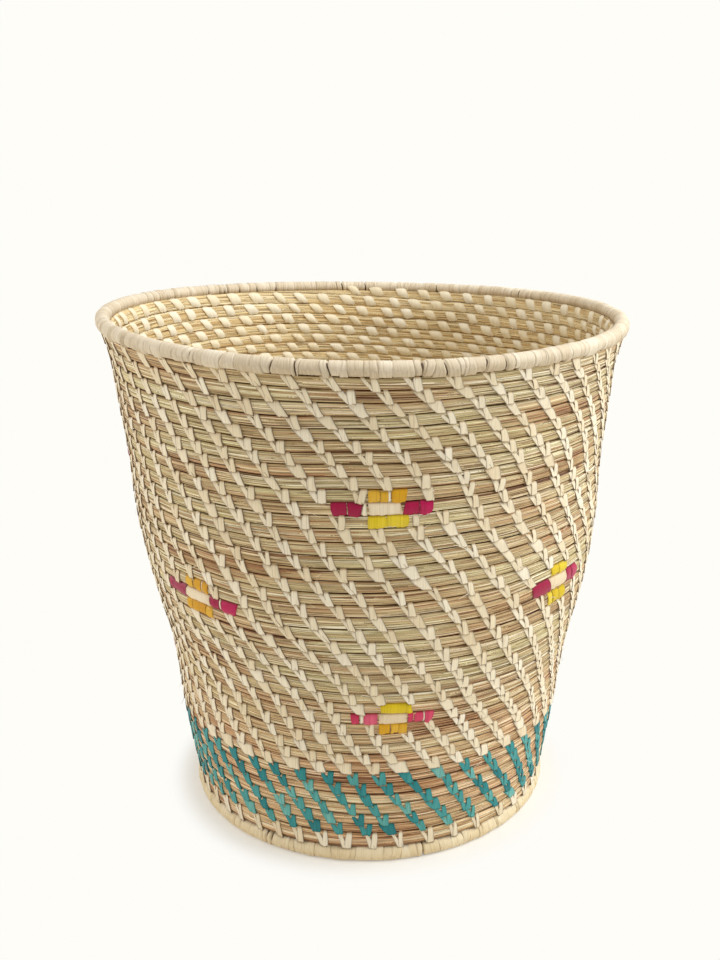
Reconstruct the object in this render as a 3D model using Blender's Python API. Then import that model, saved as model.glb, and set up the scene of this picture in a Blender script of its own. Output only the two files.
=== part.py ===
"""Woven planter: a coiled grass basket, sewn with palm-leaf strips, with a wrapped foot and rim.

The coil starts at the centre of the base and winds out to the foot and up the wall. Azimuth 0 is the
front, at -Y, and azimuths grow to the right. Rows are counted from the foot: row 0 is the base's edge
turn, and the wall's rows follow it. A row mark is a height in rows, so mark 7 is the groove under row 7.
"""

import math

import bmesh
import bpy
import numpy as np
from mathutils import Vector

# Overall sizes, in metres
HEIGHT = 0.291
RIM_ACROSS = 0.299
FOOT_ACROSS = 0.2194

# The grass coil: depth through the wall, depth of the grooves between rows, and the base
COIL_DEPTH = 0.006
GROOVE_DEPTH = 0.0013
BASE_THICKNESS = 0.0072
EDGE_TURN_HEIGHT = 0.0104
BASE_TURN_WIDTH = 0.0072
KNOT_RADIUS = 0.005

# The wrapped rings at the rim and the foot
RIM_THICKNESS = 0.0078
FOOT_WIDTH = 0.0085
FOOT_HEIGHT = 0.0086
WRAP_THICKNESS = 0.0008

# The sewing strips, and the strips of the motifs
STITCH_WIDTH = 0.0048
STITCH_THICKNESS = 0.0009
STITCH_CLEARANCE = 0.0007
STRAND_WIDTH = 0.0008
STRAND_THICKNESS = 0.0007
STRAND_DEPTH = 0.0005
TIE_THICKNESS = 0.0002
PATCH_THICKNESS = 0.0013
CARRIED_THICKNESS = 0.0004
PATCH_MARGIN = 0.00035
YELLOW_WIDTH = 0.0205
MAGENTA_WIDTH = 0.0165
CREAM_WIDTH = 0.0185
CLEARANCE = 0.0003

# The wall's outline: shares of its height, and shares of its flare from the foot to the rim
FOOT_STEP = 0.0017
RIM_LEAN = math.radians(25)
OUTLINE_SHARES = (
    (0, 0), (0.171, 0.184), (0.33, 0.311), (0.486, 0.549), (0.612, 0.68),
    (0.749, 0.734), (0.865, 0.821), (0.949, 0.893), (1, 1),
)

# Rows of each zone of the wall, from the foot up, and how thick they are next to the mean row
ZONE_SHARES = ((6, 1.085), (10, 0.93), (12, 1.043), (12, 0.98))
BAND_TOP_MARK = 7

# The coil climbs one row in the last quarter of each turn, at the back
START_AZIMUTH = math.radians(-135)
CLIMB_START_SHARE = 0.75

# Ribs of stitches lean back by this angle for each row that they rise
RIB_COUNT = 52
RIB_LEAN = math.radians(2.07)
RIB_START = math.radians(2.2)
ROWS_PER_SPAN = 4.2

# Ribs and strands meet this far inside a row's edge, and the ribs are over the crest this much further on
SEAM_SHARE = 0.07
TIE_SHARE = 0.5 - SEAM_SHARE

# Motifs: the middle row of each, and the azimuth of the first of its four places
MOTIF_PLACES = (
    ("upper", 30, math.radians(4.2)),
    ("middle", 21, math.radians(49.2)),
    ("lower", 12, math.radians(4.2)),
)
MOTIFS_AROUND = 4

# Resolution of the meshes
COLUMNS = 32
BASE_COLUMNS = 24
STRAND_COLUMNS = 2 * COLUMNS
OUTLINE_STEPS = 240
SAMPLES_PER_ROW = 10
FOOT_WRAP_ANGLES = [math.radians(angle) for angle in (65, 25, -25, -65, -115, -180, -245)]
FOOT_LINING_ANGLES = [math.radians(angle) for angle in (65, 0, -65, -115, -180, -245)]
RIM_LIP_ANGLE = math.radians(46)
RIM_WRAP_POINTS = 9
RIM_LINING_POINTS = 5

# Places worked out from the sizes
RIM_RADIUS = (RIM_ACROSS - RIM_THICKNESS) / 2
RIM_CENTRE_HEIGHT = HEIGHT - RIM_THICKNESS / 2
RIM_CORE_RADIUS = RIM_THICKNESS / 2 - WRAP_THICKNESS - CLEARANCE
FOOT_RADIUS = (FOOT_ACROSS - FOOT_WIDTH) / 2
WALL_FOOT_RADIUS = FOOT_ACROSS / 2 - FOOT_STEP
WALL_FOOT_HEIGHT = FOOT_HEIGHT + CLEARANCE
RIM_REACH = RIM_CORE_RADIUS + CLEARANCE
WALL_TOP_RADIUS = RIM_RADIUS - RIM_REACH * math.sin(RIM_LEAN) + COIL_DEPTH / 2 * math.cos(RIM_LEAN)
WALL_TOP_HEIGHT = RIM_CENTRE_HEIGHT - RIM_REACH * math.cos(RIM_LEAN) - COIL_DEPTH / 2 * math.sin(RIM_LEAN)


def clear_scene():
    """Removes every object that is already in the scene."""
    for obj in list(bpy.data.objects):
        bpy.data.objects.remove(obj, do_unlink=True)


def leaf_finish(name, colour, roughness=0.6):
    """A dry, matt material for grass or palm leaf."""
    material = bpy.data.materials.new(name)
    material.use_nodes = True
    shader = material.node_tree.nodes["Principled BSDF"]
    shader.inputs["Base Color"].default_value = (*colour, 1)
    shader.inputs["Roughness"].default_value = roughness
    shader.inputs["Metallic"].default_value = 0
    material.diffuse_color = (*colour, 1)
    return material


def outline():
    """The wall's outer outline as arrays of radius, height, lean and length, from the foot up."""
    flare = WALL_TOP_RADIUS - WALL_FOOT_RADIUS
    rise = WALL_TOP_HEIGHT - WALL_FOOT_HEIGHT
    places = np.array(OUTLINE_SHARES) * (rise, flare) + (WALL_FOOT_HEIGHT, WALL_FOOT_RADIUS)
    knots, radii = places[:, 0], places[:, 1]
    slopes = np.gradient(radii, knots)
    slopes[-1] = math.tan(RIM_LEAN)
    height = np.linspace(knots[0], knots[-1], OUTLINE_STEPS)
    piece = np.clip(np.searchsorted(knots, height) - 1, 0, len(knots) - 2)
    step = knots[piece + 1] - knots[piece]
    share = (height - knots[piece]) / step
    ease = share * share * (3 - 2 * share)
    start_pull = share * (1 - share) ** 2 * slopes[piece] * step
    end_pull = share * share * (share - 1) * slopes[piece + 1] * step
    radius = radii[piece] * (1 - ease) + radii[piece + 1] * ease + start_pull + end_pull
    lean = np.arctan2(np.gradient(radius), np.gradient(height))
    length = np.concatenate(([0], np.cumsum(np.hypot(np.diff(radius), np.diff(height)))))
    return radius, height, lean, length


OUTLINE_RADIUS, OUTLINE_HEIGHT, OUTLINE_LEAN, OUTLINE_LENGTH = outline()


def row_marks():
    """Length up the outline of each row mark: the foot, the groove over each row, and the wall's top."""
    wall_start = EDGE_TURN_HEIGHT + CLEARANCE
    shares = np.concatenate([[share] * count for count, share in ZONE_SHARES])
    climbed = np.concatenate(([0], np.cumsum(shares))) / sum(shares)
    return np.concatenate(([0], wall_start + climbed * (OUTLINE_LENGTH[-1] - wall_start)))


ROW_MARKS = row_marks()
TOP_MARK = len(ROW_MARKS) - 1


def length_at(mark):
    """Length up the outline of a row mark, which may lie between two grooves."""
    return float(np.interp(mark, np.arange(len(ROW_MARKS)), ROW_MARKS))


def row_height(mark):
    """Height along the wall of the row that holds a mark."""
    row = min(int(mark), TOP_MARK - 1)
    return ROW_MARKS[row + 1] - ROW_MARKS[row]


def radius_at(mark):
    """Radius of the wall's crests at a row mark."""
    return float(np.interp(length_at(mark), OUTLINE_LENGTH, OUTLINE_RADIUS))


def wall_point(azimuth, length, rise):
    """A point at an azimuth and a length up the outline, raised off the crest line by rise."""
    lean = np.interp(length, OUTLINE_LENGTH, OUTLINE_LEAN)
    radius = np.interp(length, OUTLINE_LENGTH, OUTLINE_RADIUS) + rise * math.cos(lean)
    height = np.interp(length, OUTLINE_LENGTH, OUTLINE_HEIGHT) - rise * math.sin(lean)
    return Vector((radius * math.sin(azimuth), -radius * math.cos(azimuth), height))


def climb(azimuth):
    """Rows that the coil has climbed at an azimuth since its start, one for each whole turn."""
    turn = (azimuth - START_AZIMUTH) / math.tau
    share = max(turn % 1 - CLIMB_START_SHARE, 0) / (1 - CLIMB_START_SHARE)
    return math.floor(turn) + share * share * (3 - 2 * share)


def local_climb(azimuth):
    """The climb at an azimuth within one turn, from 0 to 1."""
    return climb(azimuth) - math.floor((azimuth - START_AZIMUTH) / math.tau)


def skin(bm, chains):
    """Faces between each closed chain of vertices and the next, leaving out edges of no length."""
    for here, there in zip(chains, chains[1:]):
        for corners in zip(here, here[1:] + here[:1], there[1:] + there[:1], there):
            unique = list(dict.fromkeys(corners))
            if len(unique) > 2:
                bm.faces.new(unique)


def bar(bm, sections):
    """A closed bar through sections, each a list of points in the same order."""
    rings = [[bm.verts.new(point) for point in section] for section in sections]
    skin(bm, rings)
    bm.faces.new(rings[0])
    bm.faces.new(rings[-1])


def finish_object(name, bm, material, parent, smooth_angle):
    """Turns a bmesh into a named object with its faces pointing out."""
    bmesh.ops.recalc_face_normals(bm, faces=bm.faces)
    mesh = bpy.data.meshes.new(name)
    bm.to_mesh(mesh)
    bm.free()
    mesh.shade_smooth()
    mesh.set_sharp_from_angle(angle=smooth_angle)
    mesh.materials.append(material)
    obj = bpy.data.objects.new(name, mesh)
    obj.parent = parent
    bpy.context.scene.collection.objects.link(obj)
    return obj


def join_guide(target, guide):
    """Fuses a hidden guide's strands into the target with a Boolean union."""
    guide.hide_render = True
    guide.display_type = "WIRE"
    union = target.modifiers.new("strands", "BOOLEAN")
    union.operation = "UNION"
    union.solver = "EXACT"
    union.object = guide


def ridges(first_height, whole_rows, last_height):
    """Heights in rows of each groove and crest of a coil, with how deep each lies as a share of a groove."""
    heights = [first_height] + [1] * whole_rows + [last_height]
    places = [(0, 1)]
    foot = 0
    for height in heights:
        places.append((foot + height / 2, 1 - height))
        places.append((foot + height, 1))
        foot += height
    return places


def ridge_chain(bm, shift, whole_rows, place):
    """Vertices up one column of a coil whose rows have shifted by a share of a row."""
    chain = []
    for index, (mark, depth_share) in enumerate(ridges(shift, whole_rows, 1 - shift)):
        flat = shift == 0 and index in (1, 2)
        chain.append(chain[-1] if flat else bm.verts.new(place(mark, depth_share)))
    return chain


def after_turn(ridge):
    """The first column's ridges as the coil meets them a turn later, one row higher up."""
    return ridge[2:] + [ridge[-1]] * 2


def wall_coil(material, parent):
    """The grass coil of the wall: one helix of rows, which shows outside and inside."""
    bm = bmesh.new()
    whole_rows = TOP_MARK - 2
    outsides, insides = [], []
    for column in range(COLUMNS):
        azimuth = START_AZIMUTH + math.tau * column / COLUMNS
        shift = local_climb(azimuth)

        def outside(mark, depth_share, azimuth=azimuth):
            return wall_point(azimuth, length_at(1 + mark), -GROOVE_DEPTH * depth_share)

        def inside(mark, depth_share, azimuth=azimuth):
            return wall_point(azimuth, length_at(1 + mark), GROOVE_DEPTH * depth_share - COIL_DEPTH)

        outsides.append(ridge_chain(bm, shift, whole_rows, outside))
        insides.append(ridge_chain(bm, shift, whole_rows, inside))
    outsides.append(after_turn(outsides[0]))
    insides.append(after_turn(insides[0]))
    skin(bm, [outer + inner[::-1] for outer, inner in zip(outsides, insides)])
    return finish_object("wall_coil", bm, material, parent, math.radians(35))


def base_coil(material, parent):
    """The grass coil of the base: a flat spiral from the centre knot to the edge turn under the wall."""
    bm = bmesh.new()
    foot_corner = wall_point(0, 0, -GROOVE_DEPTH)
    outer_top = wall_point(0, EDGE_TURN_HEIGHT, -GROOVE_DEPTH)
    inner_top = wall_point(0, EDGE_TURN_HEIGHT, -COIL_DEPTH)
    crest = wall_point(0, EDGE_TURN_HEIGHT / 2, 0)
    spiral_radius = -inner_top.y
    turns = round((spiral_radius - KNOT_RADIUS) / BASE_TURN_WIDTH)
    turn_width = (spiral_radius - KNOT_RADIUS) / turns
    top_height = inner_top.z
    hollow_height = top_height - BASE_THICKNESS
    hollow_radius = spiral_radius - (hollow_height - foot_corner.z)
    ridge_points = 2 * (turns + 1) + 1
    centre_top = bm.verts.new((0, 0, top_height))
    centre_bottom = bm.verts.new((0, 0, hollow_height))
    chains = []
    for column in range(BASE_COLUMNS):
        turn = column / BASE_COLUMNS
        azimuth = START_AZIMUTH + math.tau * turn

        def at(radius, height, azimuth=azimuth):
            return radius * math.sin(azimuth), -radius * math.cos(azimuth), height

        def place(mark, depth_share):
            return at(spiral_radius - turn_width * mark, top_height - GROOVE_DEPTH * depth_share)

        chain = ridge_chain(bm, turn, turns - 1, place)
        chain.append(centre_top)
        chain.append(centre_bottom)
        rim = [(hollow_radius, hollow_height), (spiral_radius, foot_corner.z)]
        rim += [(-corner.y, corner.z) for corner in (foot_corner, crest, outer_top, inner_top)]
        chain += [bm.verts.new(at(radius, height)) for radius, height in rim]
        chains.append(chain)
    last = after_turn(chains[0][:ridge_points]) + chains[0][ridge_points:]
    skin(bm, chains + [last])
    return finish_object("base_coil", bm, material, parent, math.radians(35))


def turned_ring(name, section, material, parent):
    """A ring turned from a closed section of (radius, height) points."""
    bm = bmesh.new()
    chains = []
    for column in range(COLUMNS):
        azimuth = START_AZIMUTH + math.tau * column / COLUMNS
        chains.append([bm.verts.new((r * math.sin(azimuth), -r * math.cos(azimuth), z)) for r, z in section])
    skin(bm, chains + chains[:1])
    return finish_object(name, bm, material, parent, math.radians(50))


def flat_oval(angles, half_width, half_height):
    """Points of an oval whose top and bottom are cut flat, at angles from its outer side."""
    flat = math.sin(FOOT_WRAP_ANGLES[0])
    ups = [max(-1, min(1, math.sin(angle) / flat)) for angle in angles]
    across = [FOOT_RADIUS + half_width * math.cos(angle) for angle in angles]
    return [(place, FOOT_HEIGHT / 2 + half_height * up) for place, up in zip(across, ups)]


def foot_ring(leaf, grass, parent):
    """The foot's bundle and its wrapping, which is open under the base and flat where it stands."""
    inner_width = FOOT_WIDTH / 2 - WRAP_THICKNESS
    inner_height = FOOT_HEIGHT / 2 - WRAP_THICKNESS
    outside = flat_oval(FOOT_WRAP_ANGLES, FOOT_WIDTH / 2, FOOT_HEIGHT / 2)
    lining = flat_oval(FOOT_LINING_ANGLES, inner_width, inner_height)
    bundle = flat_oval(FOOT_LINING_ANGLES, inner_width - CLEARANCE, inner_height - CLEARANCE)
    turned_ring("foot_wrapping", outside + lining[::-1], leaf, parent)
    turned_ring("foot_core", bundle, grass, parent)


def rim_arc(radius, points):
    """Points round the rim's section, from one lip of its wrapping to the other."""
    wall_direction = -math.pi / 2 - RIM_LEAN
    angles = wall_direction + np.linspace(RIM_LIP_ANGLE, math.tau - RIM_LIP_ANGLE, points)
    return [(RIM_RADIUS + radius * math.cos(a), RIM_CENTRE_HEIGHT + radius * math.sin(a)) for a in angles]


def rim_ring(leaf, grass, parent):
    """The rim's bundle and its wrapping, which is open where the wall's top edge enters it."""
    outside = rim_arc(RIM_THICKNESS / 2, RIM_WRAP_POINTS)
    lining = rim_arc(RIM_THICKNESS / 2 - WRAP_THICKNESS, RIM_LINING_POINTS)
    seat_radius = RIM_RADIUS - RIM_CORE_RADIUS * math.sin(RIM_LEAN)
    seat = [(seat_radius, RIM_CENTRE_HEIGHT - RIM_CORE_RADIUS * math.cos(RIM_LEAN))]
    turned_ring("rim_wrapping", outside + lining[::-1], leaf, parent)
    turned_ring("rim_core", rim_arc(RIM_CORE_RADIUS, RIM_LINING_POINTS) + seat, grass, parent)


def rib_azimuth(rib, mark):
    """Azimuth of a rib of stitches where it crosses a row mark."""
    return RIB_START + math.tau * rib / RIB_COUNT - RIB_LEAN * (mark - BAND_TOP_MARK)


def rib_section(rib, mark, rise, thickness):
    """Flat inner edge and raised middle of a stitch, across the rib at a row mark."""
    azimuth = rib_azimuth(rib, mark)
    half_turn = STITCH_WIDTH / 2 / radius_at(mark)
    length = length_at(mark)
    return [
        wall_point(azimuth - half_turn, length, rise),
        wall_point(azimuth + half_turn, length, rise),
        wall_point(azimuth, length, rise + thickness),
    ]


def rib_bar(bm, rib, low, high, tied_low, tied_high):
    """One stretch of a rib over the crests, thinning into the groove at the ends that a strand ties."""
    first = low + TIE_SHARE if tied_low else low
    last = high - TIE_SHARE if tied_high else high
    spans = math.ceil(round((last - first) / ROWS_PER_SPAN, 3))
    sections = [
        rib_section(rib, mark, STITCH_CLEARANCE, STITCH_THICKNESS)
        for mark in np.linspace(first, last, spans + 1)
    ]
    tie_rise = -STRAND_DEPTH - TIE_THICKNESS / 2
    if tied_low:
        sections.insert(0, rib_section(rib, low, tie_rise, TIE_THICKNESS))
    if tied_high:
        sections.append(rib_section(rib, high, tie_rise, TIE_THICKNESS))
    bar(bm, sections)


def strand_section(azimuth, mark):
    """Section of the strip's hidden run in the groove at a row mark."""
    length = length_at(mark)
    top = STRAND_THICKNESS / 2 - STRAND_DEPTH
    floor = -STRAND_THICKNESS / 2 - STRAND_DEPTH
    return [
        wall_point(azimuth, length - STRAND_WIDTH / 2, top),
        wall_point(azimuth, length + STRAND_WIDTH / 2, top),
        wall_point(azimuth, length, floor),
    ]


def level_strand(bm, mark):
    """The strip's hidden run along a level groove, all the way round."""
    azimuths = [rib_azimuth(rib, mark) for rib in range(RIB_COUNT)]
    rings = [[bm.verts.new(point) for point in strand_section(azimuth, mark)] for azimuth in azimuths]
    skin(bm, rings + rings[:1])


def climbing_strand(bm, mark):
    """The strip's hidden run along a groove between rows, which climbs a row in one turn."""
    sections = []
    for step in range(STRAND_COLUMNS):
        azimuth = START_AZIMUTH + math.tau * step / STRAND_COLUMNS
        sections.append(strand_section(azimuth, mark + local_climb(azimuth)))
    sections.append(strand_section(START_AZIMUTH, mark + 1))
    bar(bm, sections)


def motifs():
    """Every motif as its name, middle row and azimuth."""
    for level, row, start in MOTIF_PLACES:
        for index in range(MOTIFS_AROUND):
            yield f"motif_{level}_{index + 1}", row, start + math.tau * index / MOTIFS_AROUND


def motif_blocks(rib, mark):
    """Whether a motif's strips lie where a rib crosses a row mark."""
    radius = radius_at(mark)
    azimuth = rib_azimuth(rib, mark)
    for _, row, centre in motifs():
        turn = (azimuth - centre + math.pi) % math.tau - math.pi
        rows_over = mark - row - climb(centre + turn)
        margin = STITCH_CLEARANCE / row_height(row)
        side = STITCH_WIDTH / 2 + STITCH_CLEARANCE
        in_middle = -margin < rows_over < 1 + margin
        in_outer = -1 - margin < rows_over < 2 + margin
        middle_half = CREAM_WIDTH / 2 + MAGENTA_WIDTH + CLEARANCE
        if in_middle and abs(turn) * radius < middle_half + side:
            return True
        if in_outer and abs(turn) * radius < YELLOW_WIDTH / 2 + side:
            return True
    return False


def natural_stitching(material, parent):
    """Ribs of natural stitches up the wall, left out where a motif's strips take their place."""
    bm = bmesh.new()
    for rib in range(RIB_COUNT):
        low = BAND_TOP_MARK + SEAM_SHARE
        low += local_climb(rib_azimuth(rib, low))
        high = TOP_MARK - SEAM_SHARE
        samples = np.linspace(low, high, round((high - low) * SAMPLES_PER_ROW))
        blocked = [mark for mark in samples if motif_blocks(rib, mark)]
        if blocked:
            rib_bar(bm, rib, low, blocked[0] - 1 / SAMPLES_PER_ROW, True, False)
            rib_bar(bm, rib, blocked[-1] + 1 / SAMPLES_PER_ROW, high, False, True)
        else:
            rib_bar(bm, rib, low, high, True, True)
    ribs = finish_object("natural_stitching", bm, material, parent, math.radians(20))
    guide = bmesh.new()
    climbing_strand(guide, BAND_TOP_MARK + SEAM_SHARE)
    level_strand(guide, TOP_MARK - SEAM_SHARE)
    join_guide(ribs, finish_object("natural_strands", guide, material, parent, math.radians(20)))


def teal_stitching(material, parent):
    """Ribs of teal stitches in the band over the foot row."""
    bm = bmesh.new()
    for rib in range(RIB_COUNT):
        high = BAND_TOP_MARK - SEAM_SHARE
        high += local_climb(rib_azimuth(rib, high))
        rib_bar(bm, rib, 1 + SEAM_SHARE, high, True, False)
    ribs = finish_object("teal_stitching", bm, material, parent, math.radians(20))
    guide = bmesh.new()
    level_strand(guide, 1 + SEAM_SHARE)
    join_guide(ribs, finish_object("teal_strand", guide, material, parent, math.radians(20)))


def foot_stitching(material, parent):
    """The single row of natural stitches over the base's edge turn."""
    bm = bmesh.new()
    for rib in range(RIB_COUNT):
        rib_bar(bm, rib, SEAM_SHARE, 1 - SEAM_SHARE, True, True)
    ribs = finish_object("foot_stitching", bm, material, parent, math.radians(20))
    guide = bmesh.new()
    level_strand(guide, SEAM_SHARE)
    join_guide(ribs, finish_object("foot_strand", guide, material, parent, math.radians(20)))


def patch_section(row, azimuth, low_rise, high_rise):
    """Section of a strip wrapped over one row, between two rises over the row's ridge."""
    start = row + climb(azimuth)
    low, high = length_at(start), length_at(start + 1)
    groove_share = 1 - 2 * PATCH_MARGIN / (high - low)
    edge = -GROOVE_DEPTH * groove_share
    lengths = (low + PATCH_MARGIN, (low + high) / 2, high - PATCH_MARGIN)
    ridge = (edge, 0, edge)
    inner = [wall_point(azimuth, length, rise + low_rise) for length, rise in zip(lengths, ridge)]
    outer = [wall_point(azimuth, length, rise + high_rise) for length, rise in zip(lengths, ridge)]
    return inner + outer[::-1]


def patch(name, row, centre, stations, material, parent):
    """A strip wrapped over one row, through stations of (place along the row, low rise, high rise)."""
    bm = bmesh.new()
    radius = radius_at(row + 0.5)
    sections = [patch_section(row, centre + place / radius, low, high) for place, low, high in stations]
    bar(bm, sections)
    finish_object(name, bm, material, parent, math.radians(30))


def motif(name, row, centre, dyes, parent):
    """One cross of four strips: yellow over and under a row of magenta, cream and magenta."""
    lift = STITCH_CLEARANCE
    top = lift + PATCH_THICKNESS
    carried_top = lift + CARRIED_THICKNESS
    yellow = [(-YELLOW_WIDTH / 2, lift, top), (YELLOW_WIDTH / 2, lift, top)]
    patch(f"{name}_yellow_upper", row + 1, centre, yellow, dyes["upper"], parent)
    patch(f"{name}_yellow_lower", row - 1, centre, yellow, dyes["lower"], parent)
    near = CREAM_WIDTH / 2 + CLEARANCE
    far = near + MAGENTA_WIDTH
    left = [(-far, lift, top), (-near, lift, top)]
    carried = [(CLEARANCE - near, lift, carried_top), (near - CLEARANCE, lift, carried_top)]
    right = [(near, lift, top), (far, lift, top)]
    patch(f"{name}_magenta", row, centre, left + carried + right, dyes["magenta"], parent)
    half_cream = CREAM_WIDTH / 2 - CLEARANCE
    cream = [(place, carried_top + CLEARANCE, top) for place in (-half_cream, half_cream)]
    patch(f"{name}_cream", row, centre, cream, dyes["cream"], parent)


def all_motifs(parent):
    """Twelve motifs in the dye batches that each level shows."""
    lemon = leaf_finish("lemon_leaf", (0.72, 0.52, 0.03))
    golden = leaf_finish("golden_leaf", (0.62, 0.33, 0.03))
    magenta = leaf_finish("magenta_leaf", (0.36, 0.02, 0.09), 0.45)
    rose = leaf_finish("rose_leaf", (0.50, 0.08, 0.16), 0.45)
    cream = leaf_finish("cream_leaf", (0.75, 0.60, 0.44))
    dyes = {
        "upper": {"upper": golden, "lower": lemon, "magenta": magenta, "cream": cream},
        "middle": {"upper": golden, "lower": golden, "magenta": magenta, "cream": cream},
        "lower": {"upper": lemon, "lower": golden, "magenta": rose, "cream": cream},
    }
    for name, row, centre in motifs():
        motif(name, row, centre, dyes[name.split("_")[1]], parent)


def build():
    """Makes the whole planter under one empty at the middle of its foot."""
    clear_scene()
    planter = bpy.data.objects.new("planter", None)
    bpy.context.scene.collection.objects.link(planter)
    grass = leaf_finish("dry_grass", (0.42, 0.31, 0.16), 0.75)
    leaf = leaf_finish("palm_leaf", (0.72, 0.58, 0.38))
    teal = leaf_finish("teal_leaf", (0.05, 0.30, 0.31))
    base_coil(grass, planter)
    wall_coil(grass, planter)
    foot_ring(leaf, grass, planter)
    rim_ring(leaf, grass, planter)
    foot_stitching(leaf, planter)
    teal_stitching(teal, planter)
    natural_stitching(leaf, planter)
    all_motifs(planter)


build()
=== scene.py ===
"""Looks of the woven planter: every grass row, stitch, wrap and dyed strip as its own geometry.

Azimuth 0 is the front, at -Y, and azimuths grow to the right. A row mark is a height in rows, counted from
the foot, so mark 7 is the groove under row 7. Lengths are in metres, and in millimetres where a comment or a
description says so.
"""

import math
from math import pi, radians, tau

import bpy
import numpy as np
from mathutils import Matrix, Vector


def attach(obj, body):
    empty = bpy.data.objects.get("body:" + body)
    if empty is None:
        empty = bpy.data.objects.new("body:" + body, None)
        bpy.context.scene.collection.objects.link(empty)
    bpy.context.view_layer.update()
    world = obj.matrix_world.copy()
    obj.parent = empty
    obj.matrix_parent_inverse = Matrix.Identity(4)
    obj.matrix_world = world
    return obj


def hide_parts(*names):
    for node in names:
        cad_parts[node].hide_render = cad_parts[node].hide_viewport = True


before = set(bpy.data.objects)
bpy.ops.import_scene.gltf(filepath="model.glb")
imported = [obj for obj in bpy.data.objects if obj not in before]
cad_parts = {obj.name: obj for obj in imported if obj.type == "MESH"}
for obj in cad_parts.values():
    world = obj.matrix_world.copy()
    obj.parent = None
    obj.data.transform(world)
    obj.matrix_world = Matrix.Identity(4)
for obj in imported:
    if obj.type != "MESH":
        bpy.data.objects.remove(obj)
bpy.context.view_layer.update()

# Sizes, angles and counts of the part, as in its source
MM = 0.001
HEIGHT = 0.291
RIM_ACROSS = 0.299
FOOT_ACROSS = 0.2194
COIL_DEPTH = 0.006
BASE_THICKNESS = 0.0072
EDGE_TURN_HEIGHT = 0.0104
BASE_TURN_WIDTH = 0.0072
KNOT_RADIUS = 0.005
RIM_THICKNESS = 0.0078
FOOT_WIDTH = 0.0085
FOOT_HEIGHT = 0.0086
WRAP_THICKNESS = 0.0008
CLEARANCE = 0.0003
FOOT_STEP = 0.0017
RIM_LEAN = radians(25)
OUTLINE_SHARES = (
    (0, 0), (0.171, 0.184), (0.33, 0.311), (0.486, 0.549), (0.612, 0.68),
    (0.749, 0.734), (0.865, 0.821), (0.949, 0.893), (1, 1),
)
ZONE_SHARES = ((6, 1.085), (10, 0.93), (12, 1.043), (12, 0.98))
BAND_TOP_MARK = 7
START_AZIMUTH = radians(-135)
CLIMB_START = 0.75
RIB_COUNT = 52
RIB_LEAN = radians(2.07)
RIB_START = radians(0.75)

RIM_RADIUS = (RIM_ACROSS - RIM_THICKNESS) / 2
RIM_CENTRE_HEIGHT = HEIGHT - RIM_THICKNESS / 2
FOOT_RADIUS = (FOOT_ACROSS - FOOT_WIDTH) / 2
WALL_FOOT_RADIUS = FOOT_ACROSS / 2 - FOOT_STEP
WALL_FOOT_HEIGHT = FOOT_HEIGHT + CLEARANCE
RIM_REACH = RIM_THICKNESS / 2 - WRAP_THICKNESS
HALF_COIL = COIL_DEPTH / 2
WALL_TOP_RADIUS = RIM_RADIUS - RIM_REACH * math.sin(RIM_LEAN) + HALF_COIL * math.cos(RIM_LEAN)
WALL_TOP_HEIGHT = RIM_CENTRE_HEIGHT - RIM_REACH * math.cos(RIM_LEAN) - HALF_COIL * math.sin(RIM_LEAN)

# How the real basket departs from round and level: the rim leans and waves, and the body sways to one side.
# The wave's level, slope and saddle, the heights and the sway are in millimetres.
RIM_TILT = -0.0291
RIM_WAVE = (0.41, -1.07, -1.74)
SWAY_HEIGHTS = (0, 40, 75, 105, 140, 170, 200, 300)
SWAY = (-0.8, -0.7, 0, 0.9, 1.0, 0.4, 0, 0)

# How far the rows, and the wall in and out, are uneven all over, in millimetres
ROW_UNREST = 0.35
BODY_UNREST = 0.45

# How far the handmade rows (in rows) and ribs of stitches (in degrees) wander, by mark and by azimuth
DRIFT_AZIMUTHS = (-48, -24, 0, 24, 48)
ROW_DRIFT = (
    (0, 0, 0, -0.1, -0.15, -0.35), (3, 0, -0.04, -0.17, -0.2, -0.5),
    (7, -0.15, -0.25, -0.25, -0.21, -0.4), (10, -0.2, -0.25, -0.4, -0.12, -0.15),
    (13, 0.35, -0.05, -0.15, -0.45, -0.4), (16, 0.5, 0.08, -0.12, -0.29, -0.28),
    (20, 0.1, -0.16, -0.14, 0.03, 0.12), (22, 0.2, -0.17, 0, 0.33, 0.75), (24, 0.2, -0.12, 0.09, 0.42, 0.74),
    (28, -0.17, -0.15, 0, 0.3, 0.46), (34, -0.35, -0.2, 0.2, 0.43, 0.53),
    (38, -0.38, -0.42, -0.08, 0.29, 0.32), (41, 0, 0, 0, 0, 0),
)
RIB_DRIFT = (
    (0, -2.6, -1.9, -1.1, 3.6, 8.4), (3, -2.4, -0.7, -0.3, 3.9, 7.5), (8, -1.9, -0.6, 0.4, 2.8, 6.8),
    (11, 0, 0.4, 0.7, 3.2, 8), (13, 1.5, 1.5, 1.9, 4.2, 9), (17, 1.2, 1.6, 3.2, 5.6, 9.8),
    (21, 0.2, 0.9, 3.9, 6.4, 9.2), (24, 2.8, 2.7, 4.1, 6.8, 8), (28, 3.6, 3.9, 4.3, 6.1, 8.5),
    (30, 4.7, 4.3, 5.6, 6.9, 9), (33, 6.3, 4.9, 7.6, 9.2, 10.7), (36, 8, 6.3, 7.8, 9.4, 10.6),
    (41, 7.2, 6.4, 7.5, 9.6, 10),
)


# Shape of the wall

def ease(share):
    """A share from 0 to 1, slowed at both ends."""
    return share * share * (3 - 2 * share)


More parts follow.
